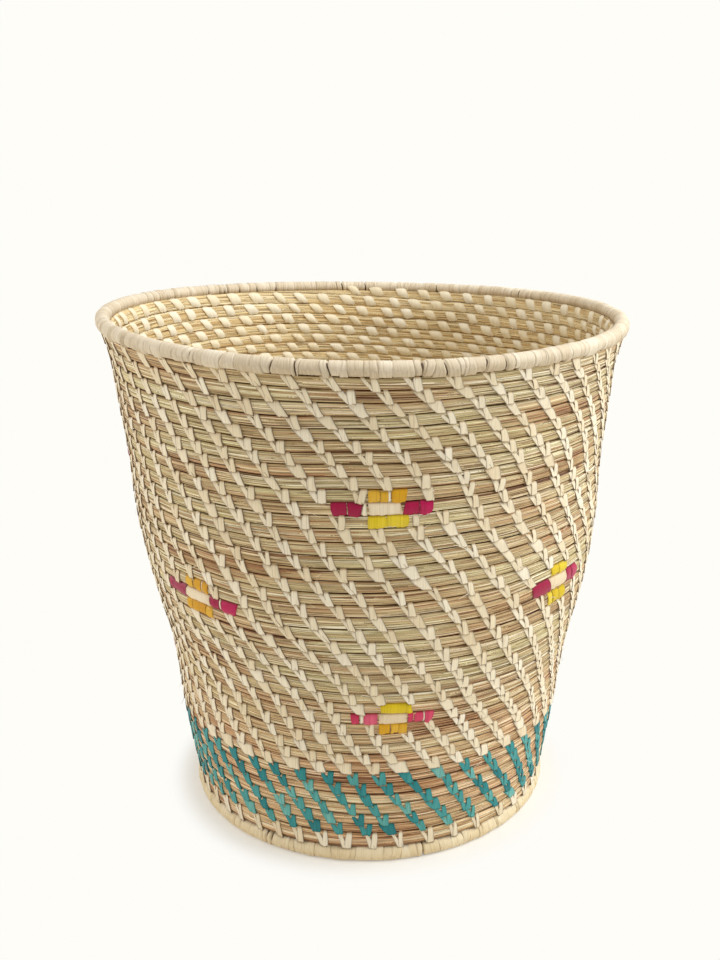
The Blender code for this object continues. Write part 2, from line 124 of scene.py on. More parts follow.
def outline():
    """The wall's outer outline: radius, height, lean and length, with a straight run past either end."""
    flare = WALL_TOP_RADIUS - WALL_FOOT_RADIUS
    rise = WALL_TOP_HEIGHT - WALL_FOOT_HEIGHT
    places = np.array(OUTLINE_SHARES) * (rise, flare) + (WALL_FOOT_HEIGHT, WALL_FOOT_RADIUS)
    knots, radii = places[:, 0], places[:, 1]
    slopes = np.gradient(radii, knots)
    slopes[-1] = math.tan(RIM_LEAN)
    height = np.linspace(knots[0], knots[-1], 400)
    piece = np.clip(np.searchsorted(knots, height) - 1, 0, len(knots) - 2)
    step = knots[piece + 1] - knots[piece]
    share = (height - knots[piece]) / step
    blend = ease(share)
    pull = share * (1 - share) ** 2 * slopes[piece] * step
    pull += share * share * (share - 1) * slopes[piece + 1] * step
    radius = radii[piece] * (1 - blend) + radii[piece + 1] * blend + pull
    lean = np.arctan2(np.gradient(radius), np.gradient(height))
    length = np.concatenate(([0], np.cumsum(np.hypot(np.diff(radius), np.diff(height)))))
    radius, height, lean, length = np.pad((radius, height, lean, length), ((0, 0), (1, 1)), mode="edge")
    run = np.zeros(len(radius))
    run[0], run[-1] = -12 * MM, 12 * MM
    return radius + run * np.sin(lean), height + run * np.cos(lean), lean, length + run


OUT_RADIUS, OUT_HEIGHT, OUT_LEAN, OUT_LENGTH = outline()


def row_marks():
    """Length up the outline of each row mark, with one mark past either end."""
    start = EDGE_TURN_HEIGHT + CLEARANCE
    end = OUT_LENGTH[-2]
    shares = np.concatenate([[share] * count for count, share in ZONE_SHARES])
    wall = start + np.concatenate(([0], np.cumsum(shares))) / sum(shares) * (end - start)
    beyond = 7 * MM
    return np.concatenate(([-beyond, 0], wall, [end + beyond]))


MARK_LENGTHS = row_marks()
MARKS = np.arange(len(MARK_LENGTHS)) - 1
TOP_MARK = len(MARKS) - 3


def waves(seed, count, around, up):
    """Frequencies, phases and weights of a smooth random field over the wall."""
    rng = np.random.default_rng(seed)
    return [
        (rng.integers(1, around + 1), rng.uniform(-up, up), rng.uniform(0, tau), rng.uniform(0.5, 1))
        for _ in range(count)
    ]


ROW_WAVES = waves(seed=3, count=14, around=9, up=0.9)
BODY_WAVES = waves(seed=8, count=6, around=4, up=0.12)
HUE_WAVES = waves(seed=21, count=18, around=8, up=2.6)


def field(field_waves, azimuth, mark):
    """Value of a smooth random field, roughly from -1 to 1."""
    parts = [weight * np.sin(turns * azimuth + up * mark + phase) for turns, up, phase, weight in field_waves]
    return sum(parts) / math.sqrt(len(field_waves))


def climb(azimuth):
    """Rows climbed at an azimuth since the coil's start, one for each whole turn."""
    turn = (azimuth - START_AZIMUTH) / tau
    return np.floor(turn) + ease(np.maximum(turn % 1 - CLIMB_START, 0) / (1 - CLIMB_START))


def radius_at(mark):
    """Radius of the crests at row marks."""
    return np.interp(np.interp(mark, MARKS, MARK_LENGTHS), OUT_LENGTH, OUT_RADIUS)


def drift(table, azimuth, mark):
    """How far a row or a rib has wandered at an azimuth and a row mark."""
    marks = [row[0] for row in table]
    values = np.array([[(row[1] + row[-1]) / 2, *row[1:], (row[1] + row[-1]) / 2] for row in table])
    turn = (np.degrees(azimuth) + 180) % 360 - 180
    turn, mark = np.broadcast_arrays(turn, mark)
    across = np.interp(turn, (-180, *DRIFT_AZIMUTHS, 180), np.arange(len(DRIFT_AZIMUTHS) + 2))
    up = np.interp(mark, marks, np.arange(len(marks)))
    left = np.minimum(across.astype(int), len(DRIFT_AZIMUTHS))
    low = np.minimum(up.astype(int), len(marks) - 2)
    across, up = ease(across - left), ease(up - low)
    lower = values[low, left] * (1 - across) + values[low, left + 1] * across
    upper = values[low + 1, left] * (1 - across) + values[low + 1, left + 1] * across
    return lower * (1 - up) + upper * up


def settle(radius, azimuth, height):
    """Points at radii, azimuths and heights, with the real basket's leaning, waving rim and swaying body."""
    x, y, z = np.broadcast_arrays(radius * np.sin(azimuth), -radius * np.cos(azimuth), height)
    azimuth = np.arctan2(x, -y)
    level, slope, saddle = RIM_WAVE
    near_rim = np.clip((z / HEIGHT - 0.35) / 0.65, 0, 1.1) ** 2
    off_centre = np.clip(np.hypot(x, y) / 0.1, 0, 1)
    wave = (level + slope * np.cos(azimuth) + saddle * np.cos(2 * azimuth)) * near_rim * off_centre
    lifted = z + (np.clip(z / HEIGHT, 0, 1.1) * RIM_TILT * x + wave * MM)
    swayed = x + np.interp(z, np.array(SWAY_HEIGHTS) * MM, np.array(SWAY) * MM)
    return np.stack((swayed, y, lifted), -1)


def wall(azimuth, mark, rise):
    """Points on the wall at azimuths and row marks, raised off the crests by rise."""
    calm = np.clip(np.minimum(mark, TOP_MARK - mark) / 2, 0, 1)
    length = np.interp(mark + calm * drift(ROW_DRIFT, azimuth, mark), MARKS, MARK_LENGTHS)
    length = length + calm * ROW_UNREST * MM * field(ROW_WAVES, azimuth, mark)
    lean = np.interp(length, OUT_LENGTH, OUT_LEAN)
    rise = rise + BODY_UNREST * MM * calm * field(BODY_WAVES, azimuth, mark)
    radius = np.interp(length, OUT_LENGTH, OUT_RADIUS) + rise * np.cos(lean)
    height = np.interp(length, OUT_LENGTH, OUT_HEIGHT) - rise * np.sin(lean)
    return settle(radius, azimuth, height)


def wall_lining(azimuth, mark, rise):
    """Points on the wall's inside, raised towards the basket's middle."""
    return wall(azimuth, mark, -COIL_DEPTH - rise)


EDGE_LEAN = float(np.interp(EDGE_TURN_HEIGHT, OUT_LENGTH, OUT_LEAN))
BASE_RADIUS = float(np.interp(EDGE_TURN_HEIGHT, OUT_LENGTH, OUT_RADIUS)) - COIL_DEPTH * math.cos(EDGE_LEAN)
BASE_TOP = float(np.interp(EDGE_TURN_HEIGHT, OUT_LENGTH, OUT_HEIGHT)) + COIL_DEPTH * math.sin(EDGE_LEAN)
BASE_TURNS = round((BASE_RADIUS - KNOT_RADIUS) / BASE_TURN_WIDTH)
TURN_WIDTH = (BASE_RADIUS - KNOT_RADIUS) / BASE_TURNS


def base_radius_at(mark):
    """Radius of the base's spiral at its marks, which count its turns from the knot."""
    return KNOT_RADIUS + TURN_WIDTH * np.asarray(mark)


def base_top(azimuth, mark, rise):
    """Points on the base's upper face."""
    return settle(base_radius_at(mark), azimuth, BASE_TOP + rise)


def base_underside(azimuth, mark, rise):
    """Points on the base's underside."""
    return base_top(azimuth, mark, -BASE_THICKNESS - rise)


# Meshes and pieces

def grid_faces(rows, columns, closed_rows=False, closed_columns=False):
    """Quads of a grid of rows by columns of vertices."""
    index = np.arange(rows * columns).reshape(rows, columns)
    if closed_rows:
        index = np.concatenate((index, index[:1]))
    if closed_columns:
        index = np.concatenate((index, index[:, :1]), 1)
    corners = (index[:-1, :-1], index[:-1, 1:], index[1:, 1:], index[1:, :-1])
    return np.stack([corner.ravel() for corner in corners], -1)


def add_object(name, data):
    """A new object in the scene."""
    made = bpy.data.objects.new(name, data)
    bpy.context.scene.collection.objects.link(made)
    return made


def make_piece(name, parts, material, slot, *nodes):
    """One object from parts, each (points, faces, {attribute: values}), that rides on the basket."""
    points = np.concatenate([part[0].reshape(-1, 3) for part in parts])
    starts = np.cumsum([0] + [part[0].size // 3 for part in parts])
    mesh = bpy.data.meshes.new(name)
    mesh.from_pydata(points, [], np.concatenate([part[1] + start for part, start in zip(parts, starts)]))
    for key in parts[0][2]:
        values = np.concatenate([part[2][key].reshape(part[0].size // 3, -1) for part in parts])
        kind, label = ("FLOAT_VECTOR", "vector") if values.shape[1] == 3 else ("FLOAT", "value")
        mesh.attributes.new(key, kind, "POINT").data.foreach_set(label, values.ravel().astype(np.float32))
    mesh.shade_smooth()
    mesh.materials.append(material)
    piece = add_object(name, mesh)
    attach(piece, "root")
    if nodes:
        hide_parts(*nodes)


# Grass

# Millimetres from row to row, straws in a row, their relief in millimetres, and the gaps' floor as its share
ROW_STEP = 6.7
STRAWS = 12
STRAW_RELIEF = 0.36
GAP_FLOOR = -0.75

# Distance between the stations of a row, stations of the edge turn and the base's spiral, and points up a row
STATION = 0.0045
EDGE_STATIONS = 160
BASE_STATIONS = 1090
OUTER_SAMPLES = 60
INNER_SAMPLES = 30

# Radii that turn an azimuth into a length along a row of the wall and along the edge turn
WALL_REACH = 0.13
EDGE_REACH = 0.11


def straw_relief(along, across, seed):
    """Height of a bundle's straws, from -1 to 1, at places along and shares across it, and their tone."""
    rng = np.random.default_rng(seed)
    spacing = 0.02
    place = (along - along[0]) / spacing
    low = place.astype(int)
    part = ease(place - low)
    knots = low[-1] + 3

    def wander(size):
        values = rng.uniform(-1, 1, (size, knots))
        return values[:, low] * (1 - part) + values[:, low + 1] * part

    centre = (np.arange(STRAWS)[:, None] + 0.5 + 0.5 * wander(STRAWS)) / STRAWS
    width = (0.72 + 0.24 * wander(STRAWS)) / STRAWS
    lift = wander(STRAWS)
    tone = np.empty((STRAWS, len(along)))
    for straw in range(STRAWS):
        ends = np.cumsum(rng.uniform(0.03, 0.24, int((along[-1] - along[0]) / 0.1) + 12))
        tone[straw] = rng.uniform(0, 1, len(ends) + 1)[np.searchsorted(ends, along - along[0])]
    away = (across[None, None, :] - centre[:, :, None]) / width[:, :, None]
    bump = np.sqrt(np.clip(1 - away * away, 0, 1)) * 1.1 - 0.4 + 0.3 * lift[:, :, None]
    bump = np.where(np.abs(away) < 1, bump, GAP_FLOOR)
    return bump.max(0), tone[bump.argmax(0), np.arange(len(along))[:, None]]


def row_values(along, share, mark, relief, tone, azimuth, inside):
    """A row's attributes for its material."""
    ones = np.ones_like(relief)
    return {
        "uvw": np.stack((along * ones, share * ROW_STEP * MM * ones, tone * 9 + inside), -1),
        "tone": tone,
        # Painted shade in the gaps between straws, darkest at their floor
        "crease": np.clip((relief - GAP_FLOOR) / 1.3, 0, 1),
        # Painted shade in the grooves between rows
        "edge": (np.abs(2 * share - 1) * ones) ** 12,
        "hue": field(HUE_WAVES, azimuth, mark) * ones,
        "level": mark / TOP_MARK * ones,
        "inside": inside * ones,
    }


def bundle(outside, inside, angle, along, low, high, seed, closed=False):
    """A row of grass bundle from its low to its high mark, with its outer and its inner face."""
    fill = np.clip(high - low, 0, 1)[:, None]
    azimuth = angle[:, None]
    points, values = [], []
    for face, place, samples in ((0.0, outside, OUTER_SAMPLES), (1.0, inside, INNER_SAMPLES)):
        # Places up the row are closer together near its grooves, into which the squeezed row curves down
        even = np.linspace(-1, 1, samples)
        share = 0.5 + 0.5 * (0.62 * even + 0.38 * np.sin(even * pi / 2))
        relief, tone = straw_relief(along, share, seed + 50 * int(face))
        mark = low[:, None] + share * (high - low)[:, None]
        side = np.abs(2 * share - 1)
        drop = ((0.8 - 0.3 * face) * side ** 4 + (1.0 - 0.6 * face) * side ** 26) * MM * (0.3 + 0.7 * fill)
        rise = relief * STRAW_RELIEF * MM * (1 - side ** 8) * fill - drop
        points.append(place(azimuth, mark, rise))
        values.append(row_values(along[:, None], share, mark, relief, tone, azimuth, face))

    def joined(outer, inner):
        return np.concatenate((outer, inner[:, ::-1]), 1)

    faces = grid_faces(len(angle), OUTER_SAMPLES + INNER_SAMPLES, closed_rows=closed, closed_columns=True)
    return joined(*points), faces, {key: joined(values[0][key], values[1][key]) for key in values[0]}


def wall_rows(turn_from, turn_to, seed):
    """The wall's grass from one turn of its helix to another."""
    start = START_AZIMUTH + tau * turn_from
    end = START_AZIMUTH + tau * turn_to
    angle = np.linspace(start, end, int((end - start) * WALL_REACH / STATION) + 1)
    low = np.clip(climb(angle), 1, TOP_MARK)
    high = np.clip(climb(angle) + 1, 1, TOP_MARK)
    return bundle(wall, wall_lining, angle, angle * WALL_REACH, low, high, seed)


def edge_row(seed):
    """The level edge turn of the base, between marks 0 and 1."""
    angle = START_AZIMUTH + tau * np.arange(EDGE_STATIONS) / EDGE_STATIONS
    low, high = np.zeros(EDGE_STATIONS), np.ones(EDGE_STATIONS)
    return bundle(wall, wall_lining, angle, angle * EDGE_REACH, low, high, seed, closed=True)


def base_rows(seed):
    """The flat spiral of the base, with straws on its upper face and its underside."""
    centre = -KNOT_RADIUS / TURN_WIDTH
    reach = np.linspace(centre - 1, BASE_TURNS, BASE_STATIONS)
    angle = tau * (reach + 1)
    low = np.clip(reach, centre, BASE_TURNS)
    high = np.clip(reach + 1, centre, BASE_TURNS)
    along = np.concatenate(([0], np.cumsum(np.diff(angle) * base_radius_at((low + high) / 2)[1:])))
    return bundle(base_top, base_underside, angle, along, low, high, seed)


# Leaf strips

# Depth of a strip's edge, and the lift of each kind of strip from its lower to its upper end, in millimetres
SKIRT = 0.9
UNDER_STITCH = (0.8, 0.68, 0.6, 0.3, -0.7)
OVER_STITCH = (0.9, 0.78, 0.76, 0.62, -0.1)
WHOLE_STITCH = (0.88, 0.78, 0.74, 0.5, -0.4)
WRAP_LIFT = (-0.4, 0.66, 0.84, 0.66, -0.45)
INNER_LIFT = (-0.3, 0.66, 0.95, 0.66, -0.3)

# Stitches stay this many rows below the top mark, and those of the base this far apart in metres at least
TOP_MARGIN = 0.4
BASE_SPACING = 0.012


def strips(place, radius_of, azimuth, mark, edges, ends, rises, seed, lanes=5, crown=0.0, bulge=0.05,
           round_high=0.2, round_low=0.05, sag=0.0, tone=None):
    """Many leaf strips at once, each laid over one row of a surface.

    edges are the places in millimetres of each strip's lower left, lower right, upper left and upper right
    corners, ends its lower and upper ends in rows, and rises its lift in millimetres at five places along it.
    """
    rng = np.random.default_rng(seed)
    count = len(azimuth)
    steps = 9

    def each(low, high):
        return rng.uniform(low, high, count)[:, None, None]

    def column(values):
        return np.broadcast_to(np.asarray(values, float), count)[:, None, None]

    t = np.linspace(0, 1, steps)[None, :, None]
    v = np.linspace(0, 1, lanes)[None, None, :]
    low_left, low_right, high_left, high_right = [column(edge) for edge in edges]
    left = low_left + (high_left - low_left) * t
    right = low_right + (high_right - low_right) * t
    narrow = 1 - round_high * np.clip((t - 0.82) / 0.18, 0, 1) ** 2
    narrow = narrow - round_low * np.clip((0.1 - t) / 0.1, 0, 1) ** 2
    narrow = narrow * (1 + each(-0.08, 0.08) * np.sin(pi * t))
    middle = (left + right) / 2 + each(-0.3, 0.3) * np.sin(pi * t)
    x = middle + (right - left) / 2 * narrow * (2 * v - 1)
    low, high = [column(end) for end in ends]
    arch = 1 - (2 * v - 1) ** 2
    rag = rng.uniform(-0.05, 0.05, (count, 1, lanes)) + each(-0.04, 0.04) * (2 * v - 1)
    y = low + (high - low) * t + crown * arch * t ** 3 + (rag - column(sag) * arch) * (1 - t) ** 2
    lift = np.interp(t, np.linspace(0, 1, len(rises)), rises)
    twist = each(-0.16, 0.16) * (2 * v - 1)
    fold = each(-0.09, 0.09) * np.cos(tau * v * rng.integers(1, 3, count)[:, None, None] + each(0, 6))
    rise = lift + bulge * arch + twist + fold + each(-0.08, 0.08)

    x, y, rise, side, along = np.pad(np.broadcast_arrays(x, y, rise, np.abs(2 * v - 1), t),
                                     ((0, 0), (0, 0), (2, 2), (2, 2)), mode="edge")
    skirt = np.zeros(rise.shape)
    skirt[:, [0, -1], :] = SKIRT
    skirt[:, :, [0, -1]] = SKIRT
    mark = column(mark) + y
    points = place(column(azimuth) + x * MM / radius_of(mark), mark, (rise - skirt) * MM)
    ones = np.ones_like(x)
    # The quads without area between the strip and its skirt are left out, so that its edge stays crisp
    ring = np.minimum(*np.indices((steps + 4, lanes + 4)))
    ring = np.minimum(ring, ring[::-1, ::-1])
    template = grid_faces(*ring.shape)
    levels = ring.ravel()[template]
    template = template[(levels.min(1) != 1) | (levels.max(1) != 2)]
    faces = (template[None] + (np.arange(count) * ring.size)[:, None, None]).reshape(-1, 4)
    tone = each(0, 1) if tone is None else column(tone)
    values = {
        "uvw": np.stack((y * ROW_STEP * MM, x * MM, each(0, 100) * ones), -1),
        "tone": tone * ones,
        # Side across the strip, whose edges the material darkens as frayed leaf and as a painted shadow
        # outline
        "edge": side,
        # Place along the strip, which the material turns into painted shade at both ends
        "along": along,
    }
    return points, faces, values


def rib_azimuth(ribs, rows):
    """Azimuth of ribs of stitches at the foot of rows."""
    even = RIB_START + tau * ribs / RIB_COUNT - RIB_LEAN * (rows - BAND_TOP_MARK)
    near = even + np.radians(drift(RIB_DRIFT, even, rows))
    wander = np.sin(ribs * 2.4 + rows * 0.35) * 0.25 + np.sin(ribs * 5.1 - rows * 0.17) * 0.22
    return even + np.radians(drift(RIB_DRIFT, near, rows) + wander)


def stitch_places(first, last, seed, climbs=True):
    """Azimuth, mark, backward step in millimetres and row of the stitches over rows first to last."""
    rng = np.random.default_rng(seed)
    rows, ribs = np.meshgrid(np.arange(first, last + 1), np.arange(RIB_COUNT), indexing="ij")
    rows, ribs = rows.ravel(), ribs.ravel()
    azimuth = rib_azimuth(ribs, rows)
    step = azimuth - rib_azimuth(ribs, rows + 1)
    azimuth = azimuth + np.radians(rng.uniform(-0.15, 0.15, len(rows)))
    azimuth = (azimuth - START_AZIMUTH) % tau + START_AZIMUTH
    climbed = np.zeros(len(azimuth))
    if climbs:
        again = azimuth < START_AZIMUTH + step
        azimuth = np.concatenate((azimuth, azimuth[again] + tau))
        step, rows = [np.concatenate((values, values[again])) for values in (step, rows)]
        climbed = climb(azimuth)
    mark = rows + climbed
    return azimuth - step * climbed, mark, step * radius_at(mark) / MM, rows


# The dyed wraps of each kind of motif over its upper, middle and lower row, in millimetres from its middle:
# upper left, upper right, lower left and lower right corner, and how far the lower edge sags, in rows
UPPER_WRAPS = (
    ((-9.1, -3.3, -8.9, -3.3, 0), (-3.3, 0.4, -3.2, 0.5, 0), (2, 10, 2.1, 9.3, 0.14)),
    ((-26.9, -19.3, -25.7, -19, 0.02), (-19.3, -11.5, -19, -12.6, 0.12), (-9.5, 6.4, -8.7, 7.7, 0),
     (8.9, 15.5, 7.6, 15.2, 0.05), (15.5, 22.4, 15.2, 22.3, 0.2)),
    ((-9, -0.5, -9.1, 0.1, 0), (-0.4, 10.4, 0.2, 10, 0)),
)
LOWER_WRAPS = (
    ((-4.1, 9.5, -3.4, 9.4, 0), (9.6, 12, 9.5, 13.3, 0.25)),
    ((-19.8, -14.8, -18.9, -14.7, 0), (-12.7, -5.2, -12.6, -5.1, 0.1), (-4.9, 10.2, -5, 10.6, 0.08),
     (10.5, 13.6, 10.7, 13.5, 0), (13.7, 18.8, 13.6, 18.6, 0), (19.6, 24.8, 19.7, 22.8, 0.4)),
    ((-4.6, 1.5, -4.6, 1.3, 0.02), (1.5, 6, 1.4, 5.8, 0), (6, 10.7, 5.8, 10.5, 0.05)),
)
LEFT_WRAPS = (
    ((-12.2, -6.2, -13.4, -6.7, 0), (-5.4, 0.1, -6, -0.6, 0.05), (1, 5.8, -0.1, 3.9, 0.05)),
    ((-31, -27.2, -30.3, -27.4, 0), (-27.1, -13.6, -27.3, -15.4, 0.05), (-13.5, 4.7, -15.2, 4.2, 0.05),
     (4.9, 11.3, 4.3, 10.8, 0), (12.7, 23.6, 12, 20.9, 0.15)),
    ((-15.6, -10.5, -16.8, -12, 0), (-10.5, -5.2, -12, -6.8, 0.05), (-5.2, 0.3, -6.8, -1.4, 0),
     (0.3, 5.5, -1.4, 3.7, 0)),
)
RIGHT_WRAPS = (
    ((-8.4, -1, -6.4, 1.2, 0), (-1, 7.2, 1.2, 9, 0.05)),
    ((-22.1, -8.5, -19.7, -4.8, 0.08), (-8.5, 7.2, -4.5, 9.6, 0), (8.9, 14.5, 10.6, 17.5, 0),
     (14.5, 21.2, 17.5, 25.4, 0.1)),
    ((-7.5, -3.2, -4.9, -1, 0.1), (-3.2, 3, -1, 5.5, 0), (3, 9.4, 5.5, 12.3, 0.05)),
)
# Each level's middle row, the azimuth of its first motif, and the wraps of its four motifs
MOTIF_LEVELS = (
    ("upper", 30, 4.2, (UPPER_WRAPS,) * 4),
    ("middle", 21, 49.2, (RIGHT_WRAPS, LEFT_WRAPS) * 2),
    ("lower", 12, 4.2, (LOWER_WRAPS,) * 4),
)
# Undyed strips beside the dyed ones: the row over the middle one, and corners and sag as above
NATURAL_STRIPS = {
    "upper": ((1, (0.45, 1.9, 0.6, 2, 0)), (0, (-10.9, -9.6, -12.5, -9.1, 0)),
              (-1, (12, 15.2, 12.3, 15.6, 0))),
    "middle": ((1, (0.1, 1, -0.7, 0, 0)), (0, (11.3, 12.6, 10.9, 12.2, 0))),
    "lower": ((0, (-14.8, -12.7, -14.7, -12.6, 0)), (0, (18.8, 19.6, 18.6, 19.7, 0))),
}
# The dyes of each level's upper, middle and lower row, apart from the middle row's cream strip
MOTIF_DYES = {
    "upper": ("golden_leaf", "magenta_leaf", "lemon_leaf"),
    "middle": ("golden_leaf", "magenta_leaf", "golden_leaf"),
    "lower": ("lemon_leaf", "rose_leaf", "golden_leaf"),
}


def motif_places():
    """Every motif's level, number, middle row, azimuth in radians and wraps."""
    for level, row, start, kinds in MOTIF_LEVELS:
        for index, kind in enumerate(kinds):
            yield level, index + 1, row, radians(start + 90 * index), kind


def on_motif(rows, azimuth, reach):
    """Whether stitches over rows, at azimuths, would lie on a motif's strips."""
    taken = np.zeros(len(azimuth), bool)
    for _, _, middle, centre, kind in motif_places():
        turn = (azimuth - centre + pi) % tau - pi
        place = turn * radius_at(middle + 0.5) / MM
        here = rows - np.rint(climb(centre + turn) - climb(np.array(centre)))
        for over, band in zip((1, 0, -1), kind):
            left = min(min(wrap[0], wrap[2]) for wrap in band)
            right = max(max(wrap[1], wrap[3]) for wrap in band)
            taken |= (here == middle + over) & (place + reach[1] > left) & (place + reach[0] < right)
    return taken


def outer_stitches(first, last, seed, whole_share, size_share, slits, legs, climbs):
    """Stitches over the outside of rows, most of them split by the next one into a left and a right leg."""
    azimuth, mark, step, rows = stitch_places(first, last, seed, climbs)
    low_end = np.clip(1 - mark, 0, None) if climbs else np.zeros(len(mark))
    keep = ~on_motif(rows, azimuth, (-step / 2 - 1.6, -step / 2 + 2.0))
    keep &= (mark < TOP_MARK - TOP_MARGIN) & (low_end < 0.6)
    azimuth, mark, step, low_end = azimuth[keep], mark[keep], step[keep], low_end[keep]
    rng = np.random.default_rng(seed + 1)
    count = len(azimuth)
    high_end = np.minimum(1, TOP_MARK - mark)
    size = rng.uniform(0.82, 1.18, count) * size_share
    lean = step * rng.uniform(0.92, 1.08, count)
    whole = rng.uniform(0, 1, count) < whole_share
    split = ~whole
    cut = rng.uniform(-0.7, 0.5, count)
    slit = rng.uniform(*slits, count)
    tone = rng.uniform(0, 1, count)

    def lay(chosen, corners, ends, rises, number, **shape):
        corners = [corner[chosen] for corner in corners]
        ends = [end[chosen] for end in ends]
        return strips(wall, radius_at, azimuth[chosen], mark[chosen], corners, ends, rises, seed + number,
                      tone=tone[chosen], **shape)

    top = -lean + (0.4 + cut) * size
    left = (-2.0 * size, (cut + 1.4) * size, top - rng.uniform(2.2, 3.7, count) * size * legs, top)
    top = top + slit
    right = ((cut - 1.7) * size, 2.1 * size, top, top + rng.uniform(2.5, 4.1, count) * size * legs)
    middle = (-2.4 * size, 2.4 * size, -lean - 3.4 * size, -lean + rng.uniform(3.6, 5.6, count) * size)
    low_ends = low_end - 0.04
    return [
        lay(split, left, (low_ends, high_end + 0.03), UNDER_STITCH, 2, round_high=0.1),
        lay(split, right, (low_ends, high_end + rng.uniform(-0.02, 0.08, count)), OVER_STITCH, 3, crown=0.02,
            round_high=0.14),
        lay(whole, middle, (low_ends, high_end + 0.04), WHOLE_STITCH, 4, lanes=7, crown=0.03,
            round_high=0.08),
    ]


def inner_stitches(first, last, seed):
    """The slanted patches that the same strips make on the inside."""
    azimuth, mark, step, rows = stitch_places(first, last, seed)
    keep = mark < TOP_MARK - TOP_MARGIN
    azimuth, mark, step = azimuth[keep], mark[keep], step[keep]
    rng = np.random.default_rng(seed + 1)
    half = rng.uniform(3.2, 4.4, len(azimuth))
    slant = rng.uniform(3.2, 6.0, len(azimuth))
    corners = (-half - slant / 2, half - slant / 2, slant / 2 - half, slant / 2 + half)
    return [strips(wall_lining, radius_at, azimuth, mark, corners, (-0.02, 1.02), INNER_LIFT, seed + 2,
                   lanes=7, bulge=0.45, round_high=0.6, round_low=0.6)]


def base_stitches(place, seed, turned):
    """Stitches over every turn of the base's spiral."""
    rng = np.random.default_rng(seed)
    azimuths, marks = [], []
    for turn in range(BASE_TURNS):
        radius = float(base_radius_at(turn + 0.5))
        count = max(6, min(RIB_COUNT, int(tau * radius / BASE_SPACING / 2) * 2))
        spots = tau * (np.arange(count) + 0.5 * (turn % 2)) / count + rng.uniform(-0.03, 0.03, count)
        azimuths.append(spots)
        marks.append(turn + spots / tau % 1)
    azimuth, mark = np.concatenate(azimuths), np.concatenate(marks)
    keep = mark < BASE_TURNS - 0.2
    azimuth, mark = azimuth[keep], mark[keep]
    half = rng.uniform(2.0, 2.7, len(azimuth))
    slant = rng.uniform(1.5, 2.6, len(azimuth)) * turned
    corners = (-half, half, -slant - half, -slant + half)
    high = np.minimum(1, BASE_TURNS - mark)
    return [strips(place, base_radius_at, azimuth, mark, corners, (0, high), INNER_LIFT, seed + 2, bulge=0.2)]


def wraps(row, centre, corners, seed, lift=0.0):
    """Wraps of strip over one row, from corners and sags in millimetres and rows from a motif's middle."""
    rng = np.random.default_rng(seed)
    high_left, high_right, low_left, low_right, sag = np.array(corners, float).T
    count = len(sag)
    gap = rng.uniform(0.02, 0.1, (4, count))
    middle = (high_left + high_right + low_left + low_right) / 4
    azimuth = centre + middle * MM / radius_at(row + 0.5)
    mark = row + climb(azimuth) - math.floor((centre - START_AZIMUTH) / tau)
    edges = zip((low_left, low_right, high_left, high_right), (gap[0], -gap[1], gap[2], -gap[3]))
    edges = [edge - middle + room for edge, room in edges]
    ends = (rng.uniform(-0.06, 0.02, count), rng.uniform(0.97, 1.04, count))
    rises = [rise + lift for rise in WRAP_LIFT]
    return strips(wall, radius_at, azimuth, mark, edges, ends, rises, seed + 1, lanes=9, crown=0.01,
                  round_high=0.02, round_low=0.02, sag=sag)


# Wrapped rings

# Shares of a wrap's full width that occur, shares of the seams' depth in millimetres that the slits beside it
# have, and how often each comes
WIDTH_SHARES = (0.5, 0.8, 1.2)
SLIT_DEPTHS = (0.15, 0.5, 1.6)
SLIT_CHANCES = (0.42, 0.4, 0.18)
SEAM_DEPTH = 0.9
RING_SIDES = 34

# Place along a strip from which its end is darkened with painted shade, where it tucks under its neighbour or
# into a groove, and the side of a ring's section that gets painted shade under its inner edge
SHADED_END = 0.86
SHADED_SIDE = radians(232)


